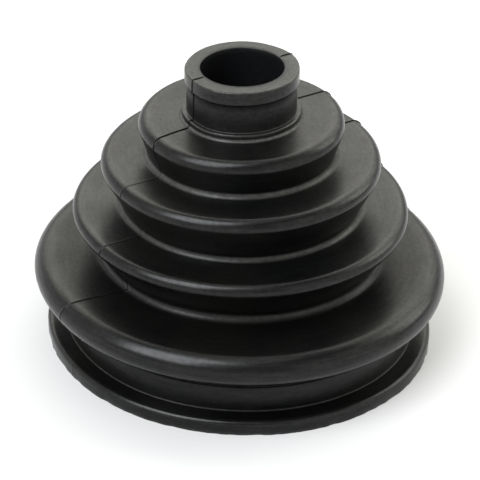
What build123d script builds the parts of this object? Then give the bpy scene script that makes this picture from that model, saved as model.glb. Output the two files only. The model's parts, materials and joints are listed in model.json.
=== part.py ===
"""Moulded rubber bellows boot for a drive shaft joint, in millimetres.

The boot is one hollow moulding, a body of revolution about Z.  It stands on the flange of its
large cuff, and the small collar that grips the shaft points up.  Its whole wall is drawn as one
closed section in the r-z plane.  The section is a chain of rounds joined by their common
tangents: a crest or an edge is a round that bulges out, and a root between two folds is a round
that is scooped in.
"""

import os
from dataclasses import dataclass
from math import asin, atan2, cos, hypot, sin

from build123d import *

# Small collar, which a band clamps on the shaft
shaft_bore_d = 22.0
collar_wall = 3.6            # rubber under the clamp band
collar_band_w = 8.4          # width of the groove that the band lies in
lip_h = 3.5                  # end lip above the groove
lip_step = 0.5               # how far the lip stands out over the groove
bead_h = 2.0                 # bead below the groove, at the foot of the collar
bead_step = 1.2              # how far the bead stands out over the groove
foot_round = 0.8             # hollow round between the bead and the first fold
collar_edge_round = 0.4
bore_mouth_round = 0.15      # outer end of the bore, nearly sharp
bore_end_round = 1.0         # inner end of the bore, where it opens into the folds

# Large cuff, which a second band clamps on the joint's housing
cuff_bore_d = 88.0
cuff_wall = 3.3              # rubber under the clamp band
cuff_band_w = 7.0            # width of the seat between the flange and the lowest fold
flange_t = 4.0
flange_step = 5.2            # how far the flange stands out over the band's seat
flange_edge_round = 1.2
seat_round = 0.4             # hollow round between the flange and the seat
relief_w = 1.4               # width of each relief ring between the sealing lands
relief_depth = 0.5
relief_count = 2

# Folds, from the large cuff up.  A rise is the height of a round's centre over the centre before
# it, and the first one starts at the top of the band's seat.
crest_d = (111.4, 90.0, 74.6, 54.6)
crest_rise = (9.0, 10.7, 10.8, 7.4)
crest_round = (4.4, 2.1, 2.4, 2.5)
root_d = (75.4, 64.2, 50.0)
root_rise = (7.3, 3.5, 3.9)
root_round = (2.0, 1.5, 1.5)
foot_rise = 2.5              # top of the last fold at the collar, over that fold's crest centre
under_round = 1.0            # hollow round between the cuff and the lowest fold

# Wall of the folds, thinnest on the crests, where the boot flexes
crest_wall = 1.3
root_wall = 2.2
least_inner_round = 0.4


@dataclass(frozen=True)
class Round:
    """A corner of the section: a round about (r, z), or a sharp corner if its radius is 0."""

    r: float
    z: float
    radius: float = 0.0
    hollow: bool = False

    @property
    def reach(self):
        """Signed distance from the centre to a straight that passes with the rubber on its right."""
        return -self.radius if self.hollow else self.radius

    def touch(self, heading):
        """The point where a straight with this heading touches the round."""
        return (self.r - self.reach * sin(heading), self.z + self.reach * cos(heading))


def heading_between(first, second):
    """Heading of the common tangent that leaves one round and meets the next."""
    run = hypot(second.r - first.r, second.z - first.z)
    direct = atan2(second.z - first.z, second.r - first.r)
    return direct - asin((first.reach - second.reach) / run)


def closed_section(rounds):
    """The face inside a closed chain of rounds, listed with the rubber on the right-hand side."""
    following = rounds[1:] + rounds[:1]
    headings = [heading_between(here, after) for here, after in zip(rounds, following)]
    edges = []
    for here, after, arriving, leaving in zip(rounds, following, headings[-1:] + headings, headings):
        if here.radius > 0:
            middle = atan2(sin(arriving) + sin(leaving), cos(arriving) + cos(leaving))
            edges.append(ThreePointArc(here.touch(arriving), here.touch(middle), here.touch(leaving)))
        edges.append(Line(here.touch(leaving), after.touch(leaving)))
    return Plane.XZ * make_face(edges)


# Radii and heights that follow from the sizes above
shaft_bore_r = shaft_bore_d / 2
groove_r = shaft_bore_r + collar_wall
lip_r = groove_r + lip_step
bead_r = groove_r + bead_step

cuff_bore_r = cuff_bore_d / 2
seat_r = cuff_bore_r + cuff_wall
flange_r = seat_r + flange_step
seat_top_z = flange_t + cuff_band_w

crest_z = []
root_z = []
level = seat_top_z
for step, rise in enumerate(crest_rise):
    level += rise
    crest_z.append(level)
    if step < len(root_rise):
        level += root_rise[step]
        root_z.append(level)

foot_z = crest_z[-1] + foot_rise
groove_bottom_z = foot_z + bead_h
groove_top_z = groove_bottom_z + collar_band_w
top_z = groove_top_z + lip_h
bore_end_z = foot_z - root_wall
cuff_bore_top_z = seat_top_z + under_round


def collar_outside():
    """The collar from its mouth down to the top of the last fold."""
    edge = collar_edge_round
    mouth = bore_mouth_round
    return [
        Round(shaft_bore_r + mouth, top_z - mouth, mouth),
        Round(lip_r - edge, top_z - edge, edge),
        Round(lip_r, groove_top_z),
        Round(groove_r, groove_top_z),
        Round(groove_r, groove_bottom_z),
        Round(bead_r - edge, groove_bottom_z - edge, edge),
        Round(bead_r + foot_round, foot_z + foot_round, foot_round, hollow=True),
    ]


def folds(crest_skin=0.0, root_skin=0.0):
    """Rounds of the folds from the collar down, moved into the wall by a thickness at each."""
    rounds = []
    for step in reversed(range(len(crest_d))):
        outer = crest_round[step]
        inner = max(outer - crest_skin, least_inner_round)
        rounds.append(Round(crest_d[step] / 2 - outer, crest_z[step], inner))
        if step > 0:
            hollow = root_round[step - 1]
            centre_r = root_d[step - 1] / 2 + hollow
            rounds.append(Round(centre_r, root_z[step - 1], hollow + root_skin, hollow=True))
    return rounds


def cuff_outside():
    """The seat of the large band and the flange below it, down to the resting face."""
    edge = flange_edge_round
    return [
        Round(seat_r + under_round, seat_top_z, under_round, hollow=True),
        Round(seat_r + seat_round, flange_t + seat_round, seat_round, hollow=True),
        Round(flange_r - edge, flange_t - edge, edge),
        Round(flange_r, 0),
    ]


def cuff_inside():
    """The cuff's bore from the resting face up, with relief rings between its sealing lands."""
    rounds = [Round(cuff_bore_r, 0)]
    land_w = (cuff_bore_top_z - relief_count * relief_w) / (relief_count + 1)
    for ring in range(relief_count):
        low_z = land_w + ring * (land_w + relief_w)
        relief_r = cuff_bore_r + relief_depth
        rounds += [
            Round(cuff_bore_r, low_z),
            Round(relief_r, low_z + relief_depth / 2),
            Round(relief_r, low_z + relief_w - relief_depth / 2),
            Round(cuff_bore_r, low_z + relief_w),
        ]
    rounds.append(Round(cuff_bore_r, cuff_bore_top_z))
    return rounds


def folds_inside():
    """The hollow side of the folds, from the cuff up to the inner end of the collar's bore."""
    rounds = [
        Round(corner.r, corner.z, corner.radius, not corner.hollow)
        for corner in reversed(folds(crest_wall, root_wall))
    ]
    rounds.append(Round(shaft_bore_r + bore_end_round, bore_end_z + bore_end_round, bore_end_round))
    return rounds


def bellows_boot():
    """The whole moulding, turned from its one closed section."""
    section = closed_section(collar_outside() + folds() + cuff_outside() + cuff_inside() + folds_inside())
    return revolve(section, Axis.Z)


os.makedirs("parts", exist_ok=True)
boot = bellows_boot()
boot.label = "bellows_boot"
export_step(boot, "parts/bellows_boot.step")
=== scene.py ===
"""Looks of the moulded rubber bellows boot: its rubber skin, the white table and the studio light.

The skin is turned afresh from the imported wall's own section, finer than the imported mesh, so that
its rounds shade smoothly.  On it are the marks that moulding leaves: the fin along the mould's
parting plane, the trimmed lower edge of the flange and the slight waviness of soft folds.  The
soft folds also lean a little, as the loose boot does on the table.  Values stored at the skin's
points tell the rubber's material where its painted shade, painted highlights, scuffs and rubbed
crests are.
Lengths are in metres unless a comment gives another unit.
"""

import json
from dataclasses import dataclass
from math import cos, pi, radians, sin, tau

import bmesh
import bpy
import numpy as np
from mathutils import Matrix, Vector


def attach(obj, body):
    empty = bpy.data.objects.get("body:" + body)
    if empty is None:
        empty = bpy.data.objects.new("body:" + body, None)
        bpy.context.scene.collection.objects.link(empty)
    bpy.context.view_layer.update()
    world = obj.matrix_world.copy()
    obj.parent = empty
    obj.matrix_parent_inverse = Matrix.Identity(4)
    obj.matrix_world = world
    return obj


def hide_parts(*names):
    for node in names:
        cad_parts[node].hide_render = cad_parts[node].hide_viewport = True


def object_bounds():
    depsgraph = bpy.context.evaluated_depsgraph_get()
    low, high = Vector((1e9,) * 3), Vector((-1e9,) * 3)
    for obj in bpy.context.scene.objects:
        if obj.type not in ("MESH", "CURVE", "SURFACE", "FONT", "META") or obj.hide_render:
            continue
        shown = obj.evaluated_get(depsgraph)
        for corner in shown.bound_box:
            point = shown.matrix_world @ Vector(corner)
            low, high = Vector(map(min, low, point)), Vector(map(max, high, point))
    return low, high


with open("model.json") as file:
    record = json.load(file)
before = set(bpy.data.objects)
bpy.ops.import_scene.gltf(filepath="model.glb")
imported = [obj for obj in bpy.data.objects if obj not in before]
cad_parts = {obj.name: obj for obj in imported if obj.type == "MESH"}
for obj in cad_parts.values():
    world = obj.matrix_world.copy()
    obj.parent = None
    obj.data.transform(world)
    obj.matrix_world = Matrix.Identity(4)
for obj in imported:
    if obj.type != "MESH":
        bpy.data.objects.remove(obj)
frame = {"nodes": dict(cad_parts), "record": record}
cad_low, cad_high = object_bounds()

MM = 0.001
BOOT_NODE = "bellows_boot"
MOUNTS = {mount["name"]: mount for mount in frame["record"]["mounts"]}
HEIGHT = cad_high.z - cad_low.z
WIDEST_R = cad_high.x
COLLAR_LIMIT_R = 20.0 * MM      # the collar lies within this radius, and every crest beyond it

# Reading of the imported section
WELD = 2e-6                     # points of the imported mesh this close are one
CUT_TOLERANCE = 1e-6
LEVEL_DIGITS = 5                # decimals of a metre to which heights are compared
CORNER_TURN = radians(25.0)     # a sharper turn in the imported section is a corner
INWARD_BIAS = 1e-3              # picks the innermost point of the flat top

# Fineness of the turned skin
COLUMNS_PER_HALF = 142          # columns of faces between the two parting lines, on each side
SECTION_POINTS = 322            # points along the closed section
FINE_STEP = 0.03 * MM           # step of the smooth section that those points are chosen from
STRAIGHT_STEP = 1.9 * MM        # longest step on a straight stretch outside
INSIDE_STEP = 5.0 * MM          # the same inside, where only the bore can be seen
TURN_STEP = radians(11.0)       # turn of the section that deserves a point of its own
INSIDE_TURN_STEP = 2.5 * TURN_STEP

# Worn edges and the slight waviness of the soft wall
EDGE_SOFTNESS = 0.09 * MM       # how far a moulded edge or corner is worn round
EDGE_REACH = 4                  # where that wear ends, in times the softness
WAVE_DEPTH = 0.12 * MM
WAVE_COUNTS = (2, 3, 5, 7)      # waves in a turn
WAVE_SEED = 0

# Fin along the parting plane, with nubs of flash left standing on the crests
FIN_HEIGHT = 0.16 * MM
FIN_OFFSETS = (0.55 * MM, 0.26 * MM, 0.15 * MM, 0.0)    # columns beside the plane
FIN_SHARES = (0.0, 0.10, 1.0, 1.0)                      # and their shares of its height
NUB_HEIGHT = 0.55 * MM
FRONT_NUB_HEIGHT = 0.3 * NUB_HEIGHT
NUB_REACH = 3.0 * MM            # how far along the section a nub fades out
NUB_FADE_POWER = 1.5

# The parting line strays from its plane on the side that faces the camera, and fades in places.
# Each pair holds how far down and out along the wall it is (r - z, in mm), and the value there:
# degrees round the boot for the first table, and a share for the second.
LINE_TURN = (
    (-65, 0.0), (-50, -1.5), (-37, 2.5), (-15, 1.8), (-7, 6.0),
    (7, 4.5), (12, 9.0), (22, 4.2), (36, 1.0),
)
LINE_STRENGTH = (
    (-38, 1.0), (-32, 0.4), (-12, 0.3), (8, 0.6),
    (12, 1.0), (24, 1.0), (33, 0.5), (40, 0.1),
)

# Ragged trim of the flange's lower edge
TRIM_DEPTH = 0.25 * MM
TRIM_RISE = 1.2 * MM            # height over the resting face that it reaches
TRIM_MEAN = 0.35                # mean, swing and most of its cut, in shares of the depth
TRIM_SWING = 0.6
TRIM_MOST = 1.4
TRIM_COUNTS = (9, 17, 31, 47, 61, 83)
TRIM_SEED = 4

# Painted highlight on the ledges of tight hollows, most on the upper folds, and scuffed sharp
# edges.  The tables give a share by the upward part of the normal and by the share of the height.
HIGHLIGHT_HOLLOW_R = 1.2 * MM       # a hollow as tight as this gets the whole painted highlight
HIGHLIGHT_BY_SLOPE = ((-0.05, 0.0), (0.25, 1.0), (0.65, 1.0), (0.95, 0.0))
HIGHLIGHT_BY_HEIGHT = ((0.3, 0.3), (0.7, 0.8), (0.85, 1.0))
WORN_EDGE_R = 0.35 * MM         # an edge as sharp as this is fully scuffed
WEAR_SHARE = 0.5                # how pale that is, against the painted highlight

# Crests are rubbed smooth, and painted shade takes reflection from the lowest fold's top face
# towards its root
RUBBED_CREST_R = 5.0 * MM       # a crest at least as sharp as this is fully rubbed
RUBBED_FADE = 0.8 * MM          # how far along the section that fades
LOWEST_FOLD_SHADE = ((0.67, 1.0), (0.86, 0.75), (0.94, 0.0))     # by the share of the widest radius
LOWEST_FOLD_TOP = 0.325         # the lowest fold's share of the height
TOP_FACE_SLOPE = 0.5            # upward part of the normal from which a face is wholly a top face

# Painted shade: a dark line in the corner under the collar's lip
LIP_SHADE = 0.75
LIP_SHADE_H = 1.2 * MM          # it is whole for half this height, and ends with it
LIP_UNDERSIDE = -0.3            # upward part of the normal below which a face looks down

# The soft folds let the collar tip to the camera's left, while the cuff stands flat on the table.
# They also give sideways: each ring stands a little to the left of the one below it.
LEAN_TIP = radians(2.4)         # at the top
LEAN_SLANT = 0.030              # shift for each unit of height

# Camera, in the view's own frame: right, away and up
CAMERA_AZIMUTH = radians(-32.0)
CAMERA_ELEVATION = radians(30.91)
CAMERA_DISTANCE = 0.700
CAMERA_ROLL = radians(2.70)
AIM_RIGHT = -0.86 * MM
AIM_HEIGHT = 27.50 * MM
FRAME_PIXELS = 480
PIXELS_PER_METRE = 3696.0       # at the aim point

VIEW_RIGHT = Vector((cos(CAMERA_AZIMUTH), sin(CAMERA_AZIMUTH), 0))
VIEW_AWAY = Vector((-sin(CAMERA_AZIMUTH), cos(CAMERA_AZIMUTH), 0))
UP = Vector((0, 0, 1))


def in_view(right, away, up):
    """A point given in the camera's own level directions."""
    return VIEW_RIGHT * right + VIEW_AWAY * away + UP * up


def read_off(table, position):
    """The value at each position in a table of (position, value) pairs, held past its ends."""
    return np.interp(position, *zip(*table))


# ---------------------------------------------------------------- the section


@dataclass(frozen=True)
class Section:
    """The wall's closed section, with one row for each of its points."""

    points: np.ndarray          # (r, z)
    normal: np.ndarray          # outward from the rubber
    bend: np.ndarray            # how sharply the outline bends, per metre: - where it is hollow
    inside: np.ndarray          # True on the hollow side of the boot

    @property
    def r(self):
        return self.points[:, 0]

    @property
    def z(self):
        return self.points[:, 1]

    def distance(self, index):
        """How far each point is from one of them."""
        return np.hypot(*(self.points - self.points[index]).T)

    def smoothed(self, values, reach):
        """Values at the points, each averaged with its neighbours within about this reach."""
        apart = (self.points[:, None] - self.points[None, :]).transpose(2, 0, 1)
        weights = np.exp(-0.5 * (np.hypot(*apart) / reach) ** 2)
        return weights @ values / weights.sum(axis=1)


def packed_section(node):
    """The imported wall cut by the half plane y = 0, x > 0: a closed loop of (r, z) points."""
    mesh = bmesh.new()
    mesh.from_mesh(node.data)
    bmesh.ops.remove_doubles(mesh, verts=mesh.verts, dist=WELD)
    everything = mesh.verts[:] + mesh.edges[:] + mesh.faces[:]
    bmesh.ops.bisect_plane(
        mesh, geom=everything, dist=CUT_TOLERANCE, plane_co=(0, 0, 0), plane_no=(0, 1, 0),
        clear_inner=True, clear_outer=True,
    )
    bmesh.ops.remove_doubles(mesh, verts=mesh.verts, dist=WELD)
    right_half = (v for v in mesh.verts if v.co.x > 0)
    start = max(right_half, key=lambda v: (round(v.co.z, LEVEL_DIGITS), v.co.x))
    inward = min((e.other_vert(start) for e in start.link_edges), key=lambda v: v.co.x)
    loop = [start]
    before, here = inward, start
    while True:
        beside = (e.other_vert(here) for e in here.link_edges)
        after = next(v for v in beside if v is not before)
        if after is start:
            break
        loop.append(after)
        before, here = here, after
    points = np.array([(v.co.x, v.co.z) for v in loop])
    mesh.free()
    return points


def rounded(points):
    """The loop with its rounds made smooth again and its corners worn, at an even fine step."""
    after = np.roll(points, -1, axis=0)
    chord = after - points
    length = np.hypot(*chord.T)
    heading = np.arctan2(chord[:, 1], chord[:, 0])
    turn = (heading - np.roll(heading, 1) + pi) % tau - pi
    smooth = after - np.roll(points, 1, axis=0)
    smooth /= np.hypot(*smooth.T)[:, None]
    straight = chord / length[:, None]
    corner = (np.abs(turn) > CORNER_TURN)[:, None]
    leaving = np.where(corner, straight, smooth) * length[:, None]
    arriving = np.where(np.roll(corner, -1, axis=0), straight, np.roll(smooth, -1, axis=0))
    arriving = arriving * length[:, None]
    pieces = []
    for here, there, out, into, run in zip(points, after, leaving, arriving, length):
        count = max(int(round(run / FINE_STEP)), 1)
        t = (np.arange(count) / count)[:, None]
        pieces.append(
            here * (2 * t**3 - 3 * t**2 + 1) + out * (t**3 - 2 * t**2 + t)
            + there * (3 * t**2 - 2 * t**3) + into * (t**3 - t**2)
        )
    fine = np.concatenate(pieces)
    reach = int(EDGE_REACH * EDGE_SOFTNESS / FINE_STEP)
    shifts = np.arange(-reach, reach + 1)
    weights = np.exp(-0.5 * (shifts * FINE_STEP / EDGE_SOFTNESS) ** 2)
    weights /= weights.sum()
    worn = np.zeros_like(fine)
    for shift, weight in zip(shifts, weights):
        worn += weight * np.roll(fine, shift, axis=0)
    return worn


def is_inside(points):
    """True for the points of the hollow side, from the foot of the large bore to the collar's."""
    top = int(np.argmax(points[:, 1] - INWARD_BIAS * points[:, 0]))
    foot_r = MOUNTS["large_end"]["dims"]["r_mm"] * MM
    order = np.roll(np.arange(len(points)), -top)
    path = points[order]
    foot = int(np.argmin(np.hypot(path[:, 0] - foot_r, path[:, 1])))
    inside = np.zeros(len(points), bool)
    inside[order[foot:]] = True
    return inside


def spaced(points):
    """The section with few points on the loop's straights and more where it turns."""
    after = np.roll(points, -1, axis=0)
    chord = after - points
    length = np.hypot(*chord.T)
    heading = np.unwrap(np.arctan2(chord[:, 1], chord[:, 0]))
    turn = np.diff(heading, append=heading[-1])
    inside = is_inside(points)
    need = length / np.where(inside, INSIDE_STEP, STRAIGHT_STEP)
    need = need + np.abs(turn) / np.where(inside, INSIDE_TURN_STEP, TURN_STEP)
    total = np.concatenate([[0], np.cumsum(need)])
    wanted = np.arange(SECTION_POINTS) * total[-1] / SECTION_POINTS
    position = np.interp(wanted, total, np.arange(len(points) + 1))
    low = np.floor(position).astype(int) % len(points)
    share = (position - np.floor(position))[:, None]
    chosen = points[low] * (1 - share) + after[low] * share
    direction = np.stack([np.cos(heading), np.sin(heading)], axis=1)[low]
    left_of_it = np.stack([-direction[:, 1], direction[:, 0]], axis=1)
    area = 0.5 * np.sum(points[:, 0] * after[:, 1] - after[:, 0] * points[:, 1])
    out = -1 if area > 0 else 1
    return Section(chosen, out * left_of_it, -out * (turn / length)[low], inside[low])


# ---------------------------------------------------------------- the skin's marks


def nub_share(section):
    """How much of a nub's height each point of the section has: 1 at the fold's crests."""
    outline = np.where(section.inside, 0, section.r)
    share = np.zeros(len(outline))
    for index, r in enumerate(outline):
        distance = section.distance(index)
        if r > COLLAR_LIMIT_R and r >= outline[distance < NUB_REACH].max():
            nub = np.clip(1 - distance / NUB_REACH, 0, 1) ** NUB_FADE_POWER
            share = np.maximum(share, nub)
    return np.where(section.inside, 0, share)


def painted_highlight_and_wear(section):
    """How pale each point is: a painted highlight on the ledges of tight hollows, and scuffed sharp
    edges.
    """
    ledge = read_off(HIGHLIGHT_BY_SLOPE, section.normal[:, 1])
    hollow = np.clip(-section.bend * HIGHLIGHT_HOLLOW_R, 0, 1)
    amount = read_off(HIGHLIGHT_BY_HEIGHT, section.z / HEIGHT)
    scuffed = np.clip(section.bend * WORN_EDGE_R, 0, 1) ** 2
    return np.where(section.inside, 0, amount * hollow * ledge + WEAR_SHARE * scuffed)


def rubbed_crests(section):
    """How much each point is rubbed smooth."""
    sharpness = np.clip(section.bend * RUBBED_CREST_R, 0, 1)
    return np.where(section.inside, 0, section.smoothed(sharpness, RUBBED_FADE))


def painted_root_shade(section):
    """Painted shade on the lowest fold's top face, taking away reflection: most at its root, and
    none at its crest.
    """
    by_radius = read_off(LOWEST_FOLD_SHADE, section.r / WIDEST_R)
    in_fold = (section.z / HEIGHT < LOWEST_FOLD_TOP) & ~section.inside
    return in_fold * by_radius * np.clip(section.normal[:, 1] / TOP_FACE_SLOPE, 0, 1)


def lip_shade(section):
    """Painted shade under the collar's lip: a dark line, most in the corner of its step."""
    on_collar = (section.r < COLLAR_LIMIT_R) & (section.z > HEIGHT / 2)
    corner = on_collar & (section.bend < 0) & (section.normal[:, 1] < LIP_UNDERSIDE)
    top = section.z[corner].max()
    groove = (section.r < COLLAR_LIMIT_R) & (section.z <= top) & (section.normal[:, 0] > 0)
    left = np.clip(2 - 2 * (top - section.z) / LIP_SHADE_H, 0, 1)
    return np.where(groove, LIP_SHADE * left, 0)


# ---------------------------------------------------------------- the skin


def waves(angle, counts, seed):
    """A wavy line round the boot, from about -1 to 1, made of the given counts of waves a turn."""
    phases = np.random.default_rng(seed).uniform(0, tau, len(counts))
    total = sum(np.cos(count * angle + phase) for count, phase in zip(counts, phases))
    return total / len(counts) ** 0.5


def leaned(x, y, z):
    """Points of the upright boot carried over by its gentle bend towards the camera's left."""
    share = np.clip(z / HEIGHT, 0, 1)
    tip = LEAN_TIP * (3 * share**2 - 2 * share**3)
    shift = -LEAN_SLANT * np.clip(z, 0, None)
    right = x * VIEW_RIGHT.x + y * VIEW_RIGHT.y
    away = x * VIEW_AWAY.x + y * VIEW_AWAY.y
    rise = right * np.sin(tip)
    right = right * np.cos(tip) + shift
    leaned_x = right * VIEW_RIGHT.x + away * VIEW_AWAY.x
    leaned_y = right * VIEW_RIGHT.y + away * VIEW_AWAY.y
    return leaned_x, leaned_y, z + rise


def columns_for(radius):
    """Angles of the columns on one ring, and the share of the fin's height that each one has."""
    near = np.arcsin(np.array(FIN_OFFSETS) / radius)
    span = np.linspace(near[0], pi - near[0], COLUMNS_PER_HALF + 1)
    half = np.concatenate([near[1:][::-1], span, pi - near[1:]])
    share = np.zeros(len(half))
    share[: len(near) - 1] = FIN_SHARES[1:][::-1]
    share[-(len(near) - 1):] = FIN_SHARES[1:]
    return np.concatenate([half[:-1], half[:-1] + pi]), np.concatenate([share[:-1], share[:-1]])


def turned_ring(r, z, normal, hidden, nub, shade, flange_r):
    """The x, y and z of one point's ring round the boot, and how dark its painted shade is all
    round.
    """
    angle, share = columns_for(r)
    at_back = np.cos(angle) > 0
    front_share = (1 - np.cos(angle)) / 2
    along_mm = (r - z) / MM
    share = share * np.where(at_back, 1, read_off(LINE_STRENGTH, along_mm))
    angle = angle + radians(read_off(LINE_TURN, along_mm)) * front_share
    ring_r = np.full(len(angle), r)
    ring_z = np.full(len(angle), z)
    dark = np.zeros(len(angle))
    if not hidden:
        lift = (FIN_HEIGHT + nub * np.where(at_back, NUB_HEIGHT, FRONT_NUB_HEIGHT)) * share
        ring_r = ring_r + lift * normal[0] + WAVE_DEPTH * waves(angle, WAVE_COUNTS, WAVE_SEED)
        ring_z = ring_z + lift * normal[1]
        # painted shade along the fin's line and in the corner under the collar's lip
        dark = np.maximum(share, shade)
    trim = np.clip(1 - z / TRIM_RISE, 0, 1) * np.clip(1 - (flange_r - r) / TRIM_RISE, 0, 1)
    if trim > 0:
        cut = TRIM_MEAN + TRIM_SWING * waves(angle, TRIM_COUNTS, TRIM_SEED)
        ring_r = ring_r - trim * TRIM_DEPTH * np.clip(cut, 0, TRIM_MOST)
    ring_z = np.maximum(ring_z, cad_low.z)
    return (ring_r * np.cos(angle), ring_r * np.sin(angle), ring_z), dark


def closed_grid(rows, columns):
    """The faces of a grid of points that closes on itself both ways."""
    row = np.arange(rows)[:, None]
    column = np.arange(columns)[None, :]
    next_row = (row + 1) % rows
    next_column = (column + 1) % columns
    here = row * columns + column
    beside = row * columns + next_column
    below = next_row * columns + column
    across = next_row * columns + next_column
    return np.stack([here, below, across, beside], axis=2).reshape(-1, 4)


def boot_skin():
    """The whole wall as one closed mesh, with the marks of its moulding."""
    section = spaced(rounded(packed_section(frame["nodes"][BOOT_NODE])))
    flange_r = section.r[section.z < TRIM_RISE].max()
    rings = []
    darks = []
    for r, z, normal, hidden, nub, shade in zip(
        section.r, section.z, section.normal, section.inside, nub_share(section), lip_shade(section)
    ):
        ring, dark = turned_ring(r, z, normal, hidden, nub, shade, flange_r)
        rings.append(ring)
        darks.append(dark)
    x, y, z = leaned(*np.array(rings).transpose(1, 0, 2))
    vertices = np.stack([x, y, z], axis=2).reshape(-1, 3)
    mesh = bpy.data.meshes.new("boot_skin")
    mesh.from_pydata(vertices.tolist(), [], closed_grid(*x.shape).tolist())
    marks = {
        "dark": np.array(darks),
        "inside": section.inside[:, None],
        "pale": painted_highlight_and_wear(section)[:, None],
        "rubbed": rubbed_crests(section)[:, None],
        "root_shade": painted_root_shade(section)[:, None],
    }
    for name, values in marks.items():
        attribute = mesh.attributes.new(name, "FLOAT", "POINT")
        everywhere = np.broadcast_to(values.astype(np.float32), x.shape)
        attribute.data.foreach_set("value", everywhere.ravel())
    mesh.validate()
    mesh.update()
    mesh.shade_smooth()
    skin = bpy.data.objects.new("boot_skin", mesh)
    bpy.context.scene.collection.objects.link(skin)
    return skin


# ---------------------------------------------------------------- shader graphs


class Graph:
    """The nodes of one material or of the world, with short ways to add and join them."""

    def __init__(self, tree):
        self.nodes = tree.nodes
        self.links = tree.links
        self.nodes.clear()

    def node(self, kind, inputs=None, **settings):
        """A new node with these settings, whose named sockets are linked or given a value."""
        made = self.nodes.new(kind)
        for key, value in settings.items():
            setattr(made, key, value)
        for socket, value in (inputs or {}).items():
            self.feed(made.inputs[socket], value)
        return made

    def feed(self, socket, value):
        """Links a socket to another, or sets the value that it holds."""
        if isinstance(value, bpy.types.NodeSocket):
            self.links.new(value, socket)
        else:
            socket.default_value = value

    def math(self, operation, first, second=0.0):
        """The result of one operation on numbers."""
        inputs = {0: first, 1: second}
        return self.node("ShaderNodeMath", inputs, operation=operation).outputs[0]

    def total(self, *values):
        """The sum of the values."""
        result = values[0]
        for value in values[1:]:
            result = self.math("ADD", result, value)
        return result

    def product(self, *values):
        """The values multiplied together."""
        result = values[0]
        for value in values[1:]:
            result = self.math("MULTIPLY", result, value)
        return result

    def dot(self, first, second):
        """The dot product of two vectors."""
        inputs = {0: first, 1: second}
        return self.node("ShaderNodeVectorMath", inputs, operation="DOT_PRODUCT").outputs["Value"]

    def spread(self, value, span, onto=(0.0, 1.0), kind="LINEAR"):
        """The value carried from one range onto another, and held at that range's ends."""
        inputs = {
            "Value": value,
            "From Min": span[0],
            "From Max": span[1],
            "To Min": onto[0],
            "To Max": onto[1],
        }
        return self.node("ShaderNodeMapRange", inputs, interpolation_type=kind).outputs["Result"]

    def noise(self, vector, scale, detail=2.0, roughness=0.5):
        """Soft noise, mostly from 0.3 to 0.7, with about this many spots in a metre."""
        inputs = {"Vector": vector, "Scale": scale, "Detail": detail, "Roughness": roughness}
        return self.node("ShaderNodeTexNoise", inputs).outputs["Fac"]

    def blend(self, share, first, second):
        """The first colour where the share is 0, the second where it is 1."""
        inputs = {"Factor": share, "A": first, "B": second}
        return self.node("ShaderNodeMix", inputs, data_type="RGBA").outputs["Result"]


# ---------------------------------------------------------------- the rubber

RUBBER_COOL = (0.0014, 0.0015, 0.0017, 1)
RUBBER_WARM = (0.0026, 0.0025, 0.0021, 1)
# lighter and bluer than the outside: painted light that lifts the shaded inside
RUBBER_INSIDE = (0.0050, 0.0052, 0.0058, 1)
# painted shade: the black of the lines along the fin and under the collar's lip
LINE_BLACK = (0.0006, 0.0006, 0.0008, 1)
# pale grey of the painted highlight in the hollows and of the scuffs
PALE_GREY = (0.085, 0.085, 0.078, 1)

# Reflection.  The level is the shader's usual one, so that the IOR alone sets how much clean
# rubber reflects, and an export that leaves the level out keeps that.
RUBBER_IOR = 1.3508
SPECULAR_LEVEL = 0.5
ROOT_SHADE_LOSS = 0.55             # how much of its reflection the most shaded place loses
STREAK_SHEEN = (0.80, 1.20)     # shares of the reflection over the streaks and the mottle
MOTTLE_SHEEN = (0.85, 1.15)

# Roughness, and what is added to it
RUBBER_ROUGHNESS = 0.34
CLOUD_ROUGHNESS = (-0.03, 0.05)
STREAK_ROUGHNESS = (-0.015, 0.02)
LINE_ROUGHNESS = 0.3            # in the dark lines of painted shade
INSIDE_DULLNESS = 0.02          # on the unpolished inside
CREST_POLISH = 0.09             # taken off on the rubbed crests

# Noises, in spots for each metre, and the ranges that their values are read in
GRAIN_SCALE = 2600.0
STREAK_SCALE = 1500.0
MOTTLE_SCALE = 900.0
BROAD_SCALE = 160.0
CLOUD_SCALE = 55.0
FINE_DETAIL = 3.0
STREAK_HARSHNESS = 0.6
STREAK_LENGTH = 0.004           # how much a turn round the boot counts against a step across it
NOISE_SPAN = (0.3, 0.7)
TINT_SPAN = (0.35, 0.65)
PALE_MOTTLE = (0.5, 1.0)        # share of the painted highlight and the scuffs over the mottle

# Relief of the bump
GRAIN_HEIGHT = 0.006 * MM
STREAK_HEIGHT = 0.0025 * MM
BROAD_HEIGHT = 0.030 * MM


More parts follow.
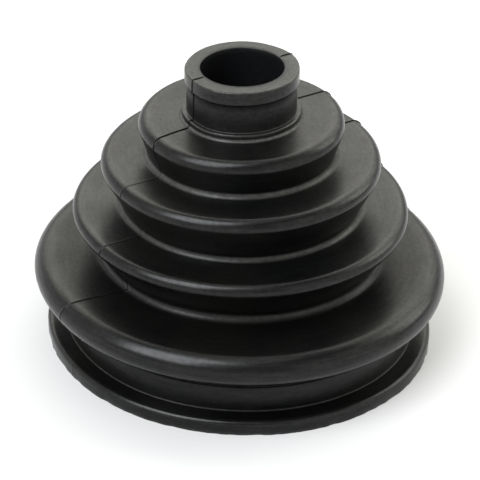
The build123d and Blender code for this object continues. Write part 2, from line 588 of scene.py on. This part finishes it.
def rubber_material():
    """Satin black rubber: fine grain, faint streaks round the boot, painted highlights in the
    hollows, scuffs, and dull dark lines of painted shade.
    """
    material = bpy.data.materials.new("moulded_rubber")
    material.use_nodes = True
    graph = Graph(material.node_tree)

    place = graph.node("ShaderNodeTexCoord").outputs["Object"]
    x, y, z = graph.node("ShaderNodeSeparateXYZ", {0: place}).outputs
    radius = graph.math("SQRT", graph.total(graph.product(x, x), graph.product(y, y)))
    turn = graph.product(graph.math("ARCTAN2", y, x), STREAK_LENGTH)
    round_boot = graph.node("ShaderNodeCombineXYZ", {0: radius, 1: turn, 2: z}).outputs[0]
    streak = graph.noise(round_boot, STREAK_SCALE, FINE_DETAIL, STREAK_HARSHNESS)
    broad = graph.noise(place, BROAD_SCALE)
    mottle = graph.noise(place, MOTTLE_SCALE, FINE_DETAIL)
    grain = graph.noise(place, GRAIN_SCALE)
    cloud = graph.noise(place, CLOUD_SCALE, FINE_DETAIL)
    dark, inside, pale, rubbed, root_shade = (
        graph.node("ShaderNodeAttribute", attribute_name=name).outputs["Fac"]
        for name in ("dark", "inside", "pale", "rubbed", "root_shade")
    )

    smoothest, roughest = (RUBBER_ROUGHNESS + added for added in CLOUD_ROUGHNESS)
    roughness = graph.total(
        graph.spread(cloud, NOISE_SPAN, (smoothest, roughest)),
        graph.spread(streak, NOISE_SPAN, STREAK_ROUGHNESS),
        graph.product(dark, LINE_ROUGHNESS),
        graph.product(inside, INSIDE_DULLNESS),
        graph.product(rubbed, -CREST_POLISH),
    )
    pale_share = graph.product(pale, graph.spread(mottle, NOISE_SPAN, PALE_MOTTLE))
    tint = graph.blend(graph.spread(cloud, TINT_SPAN), RUBBER_COOL, RUBBER_WARM)
    # painted light: the lighter tint inside
    tint = graph.blend(inside, tint, RUBBER_INSIDE)
    # painted highlight in the hollows, and scuffs on sharp edges
    tint = graph.blend(pale_share, tint, PALE_GREY)
    # painted shade takes reflection away in the dark lines, and on the lowest fold towards its root
    sheen = graph.product(
        SPECULAR_LEVEL,
        graph.math("SUBTRACT", 1, dark),
        graph.spread(root_shade, (0, 1), (1, 1 - ROOT_SHADE_LOSS)),
        graph.spread(streak, NOISE_SPAN, STREAK_SHEEN),
        graph.spread(mottle, NOISE_SPAN, MOTTLE_SHEEN),
    )
    height = graph.total(
        graph.product(grain, GRAIN_HEIGHT),
        graph.product(streak, STREAK_HEIGHT),
        graph.product(broad, BROAD_HEIGHT),
    )
    bump = graph.node("ShaderNodeBump", {"Strength": 1.0, "Distance": 1.0, "Height": height})
    shader = graph.node("ShaderNodeBsdfPrincipled", {
        "Base Color": graph.blend(dark, tint, LINE_BLACK),
        "Roughness": roughness,
        "IOR": RUBBER_IOR,
        "Specular IOR Level": sheen,
        "Normal": bump.outputs["Normal"],
    })
    graph.node("ShaderNodeOutputMaterial", {"Surface": shader.outputs["BSDF"]})
    return material


# ---------------------------------------------------------------- the table

FLOOR_SIZE = 6.0
FLOOR_WHITE = 0.52              # how much of the light it gives back
FLOOR_GLOW = 0.20               # what brings it up to white, to the camera and in reflections


def floor_material():
    """A white table that stays white to the camera and in reflections, and keeps the shadow."""
    material = bpy.data.materials.new("white_table")
    material.use_nodes = True
    graph = Graph(material.node_tree)
    path = graph.node("ShaderNodeLightPath").outputs
    seen = graph.math("MAXIMUM", path["Is Camera Ray"], path["Is Glossy Ray"])
    seen = graph.math("MAXIMUM", seen, path["Is Transmission Ray"])
    glow = graph.node("ShaderNodeEmission", {"Strength": graph.product(seen, FLOOR_GLOW)})
    white = (FLOOR_WHITE, FLOOR_WHITE, FLOOR_WHITE, 1)
    diffuse = graph.node("ShaderNodeBsdfDiffuse", {"Color": white})
    both = graph.node("ShaderNodeAddShader", {0: diffuse.outputs[0], 1: glow.outputs[0]})
    graph.node("ShaderNodeOutputMaterial", {"Surface": both.outputs[0]})
    return material


def white_floor():
    """The flat table that the boot stands on."""
    mesh = bpy.data.meshes.new("table_top")
    half = FLOOR_SIZE / 2
    corners = [(-half, -half, 0), (half, -half, 0), (half, half, 0), (-half, half, 0)]
    mesh.from_pydata(corners, [], [(0, 1, 2, 3)])
    floor = bpy.data.objects.new("table_top", mesh)
    floor.location.z = cad_low.z
    mesh.materials.append(floor_material())
    bpy.context.scene.collection.objects.link(floor)


# ---------------------------------------------------------------- the studio

# The pale room: its radiance all round, and what is added near the horizon, overhead and at the
# camera's left.  Each range runs from where the added light starts to where it is whole, by the
# upward or leftward part of the direction.
ROOM_BASE = 0.33
ROOM_HORIZON = 0.30
HORIZON_SPAN = (0.6, 0.2)
ROOM_OVERHEAD = 0.95
OVERHEAD_SPAN = (0.92, 0.99)
ROOM_LEFT = 0.45
LEFT_SPAN = (0.2, 0.8)

PANEL_AHEAD = 0.05              # least cosine to a panel's middle, so that it has no twin behind


@dataclass(frozen=True)
class Panel:
    """A rectangle of light with a soft edge, placed as the boot sees it.  Angles are degrees."""

    left: float                 # to the camera's left, from the camera's own direction
    up: float
    half_width: float
    half_height: float
    edge: float                 # width of the soft edge
    radiance: float
    spill: float                # share of the radiance that matt surfaces get
    colour: tuple


PANELS = {
    "front_left": Panel(
        left=45, up=50, half_width=18, half_height=24, edge=11,
        radiance=8.2, spill=0.15, colour=(0.94, 0.97, 1.0),
    ),
    "behind": Panel(
        left=190, up=44, half_width=38, half_height=20, edge=30,
        radiance=2.6, spill=1.5, colour=(1.0, 0.99, 0.90),
    ),
    "behind_low": Panel(
        left=180, up=30, half_width=12, half_height=8, edge=8,
        radiance=0.80, spill=1.0, colour=(1.0, 0.99, 0.90),
    ),
    "right": Panel(
        left=-112, up=28, half_width=12, half_height=17, edge=10,
        radiance=3.7, spill=1.6, colour=(1.0, 0.99, 0.92),
    ),
    "front_right": Panel(
        left=-62, up=24, half_width=28, half_height=25, edge=12,
        radiance=0.62, spill=1.0, colour=(1.0, 0.99, 0.94),
    ),
}


def panel_light(graph, towards, matt, panel):
    """The colour that a panel adds to the room, seen in a direction."""
    turn = radians(panel.left)
    lift = radians(panel.up)
    centre = in_view(-sin(turn) * cos(lift), -cos(turn) * cos(lift), sin(lift))
    across = centre.cross(UP).normalized()
    along = across.cross(centre)
    ahead = graph.dot(towards, centre)
    share = graph.math("GREATER_THAN", ahead, PANEL_AHEAD)
    for side, half in ((across, panel.half_width), (along, panel.half_height)):
        angle = graph.math("ABSOLUTE", graph.math("ARCTAN2", graph.dot(towards, side), ahead))
        fade = (radians(half + panel.edge / 2), radians(half - panel.edge / 2))
        share = graph.product(share, graph.spread(angle, fade, kind="SMOOTHSTEP"))
    share = graph.product(share, graph.spread(matt, (0, 1), (1, panel.spill)))
    lit = tuple(panel.radiance * channel for channel in panel.colour)
    return graph.blend(share, (0, 0, 0, 1), (*lit, 1))


def studio_room():
    """The world: a pale room with soft panels of light, and plain white to the camera."""
    world = bpy.data.worlds.new("studio")
    world.use_nodes = True
    graph = Graph(world.node_tree)
    towards = graph.node("ShaderNodeTexCoord").outputs["Generated"]
    height = graph.node("ShaderNodeSeparateXYZ", {0: towards}).outputs["Z"]
    off_level = graph.math("ABSOLUTE", height)
    leftward = graph.dot(towards, -VIEW_RIGHT)
    level = graph.total(
        ROOM_BASE,
        graph.spread(off_level, HORIZON_SPAN, (0, ROOM_HORIZON), "SMOOTHSTEP"),
        graph.spread(height, OVERHEAD_SPAN, (0, ROOM_OVERHEAD), "SMOOTHSTEP"),
        graph.spread(leftward, LEFT_SPAN, (0, ROOM_LEFT), "SMOOTHSTEP"),
    )
    light = graph.node("ShaderNodeCombineXYZ", {0: level, 1: level, 2: level}).outputs[0]
    path = graph.node("ShaderNodeLightPath").outputs
    for panel in PANELS.values():
        added = panel_light(graph, towards, path["Is Diffuse Ray"], panel)
        both = graph.node("ShaderNodeVectorMath", {0: light, 1: added}, operation="ADD")
        light = both.outputs[0]
    room = graph.node("ShaderNodeBackground", {"Color": light}).outputs[0]
    white = graph.node("ShaderNodeBackground", {"Color": (1, 1, 1, 1)}).outputs[0]
    mix = graph.node("ShaderNodeMixShader", {0: path["Is Camera Ray"], 1: room, 2: white})
    graph.node("ShaderNodeOutputWorld", {"Surface": mix.outputs[0]})
    bpy.context.scene.world = world


def studio_camera():
    """The camera at the photo's viewing angle, with its frame filled as the photo's is."""
    camera = bpy.data.cameras.new("camera")
    camera.sensor_fit = "HORIZONTAL"
    camera.lens = PIXELS_PER_METRE * CAMERA_DISTANCE / FRAME_PIXELS * camera.sensor_width
    view = bpy.data.objects.new("camera", camera)
    towards = VIEW_AWAY * cos(CAMERA_ELEVATION) - UP * sin(CAMERA_ELEVATION)
    aim = in_view(AIM_RIGHT, 0, AIM_HEIGHT)
    turn = towards.to_track_quat("-Z", "Y").to_matrix().to_4x4()
    roll = Matrix.Rotation(CAMERA_ROLL, 4, "Z")
    view.matrix_world = Matrix.Translation(aim - towards * CAMERA_DISTANCE) @ turn @ roll
    bpy.context.scene.collection.objects.link(view)
    bpy.context.scene.camera = view


skin = boot_skin()
skin.data.materials.append(rubber_material())
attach(skin, "root")
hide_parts(BOOT_NODE)

white_floor()
studio_room()
studio_camera()
bpy.context.scene.view_settings.view_transform = "Standard"
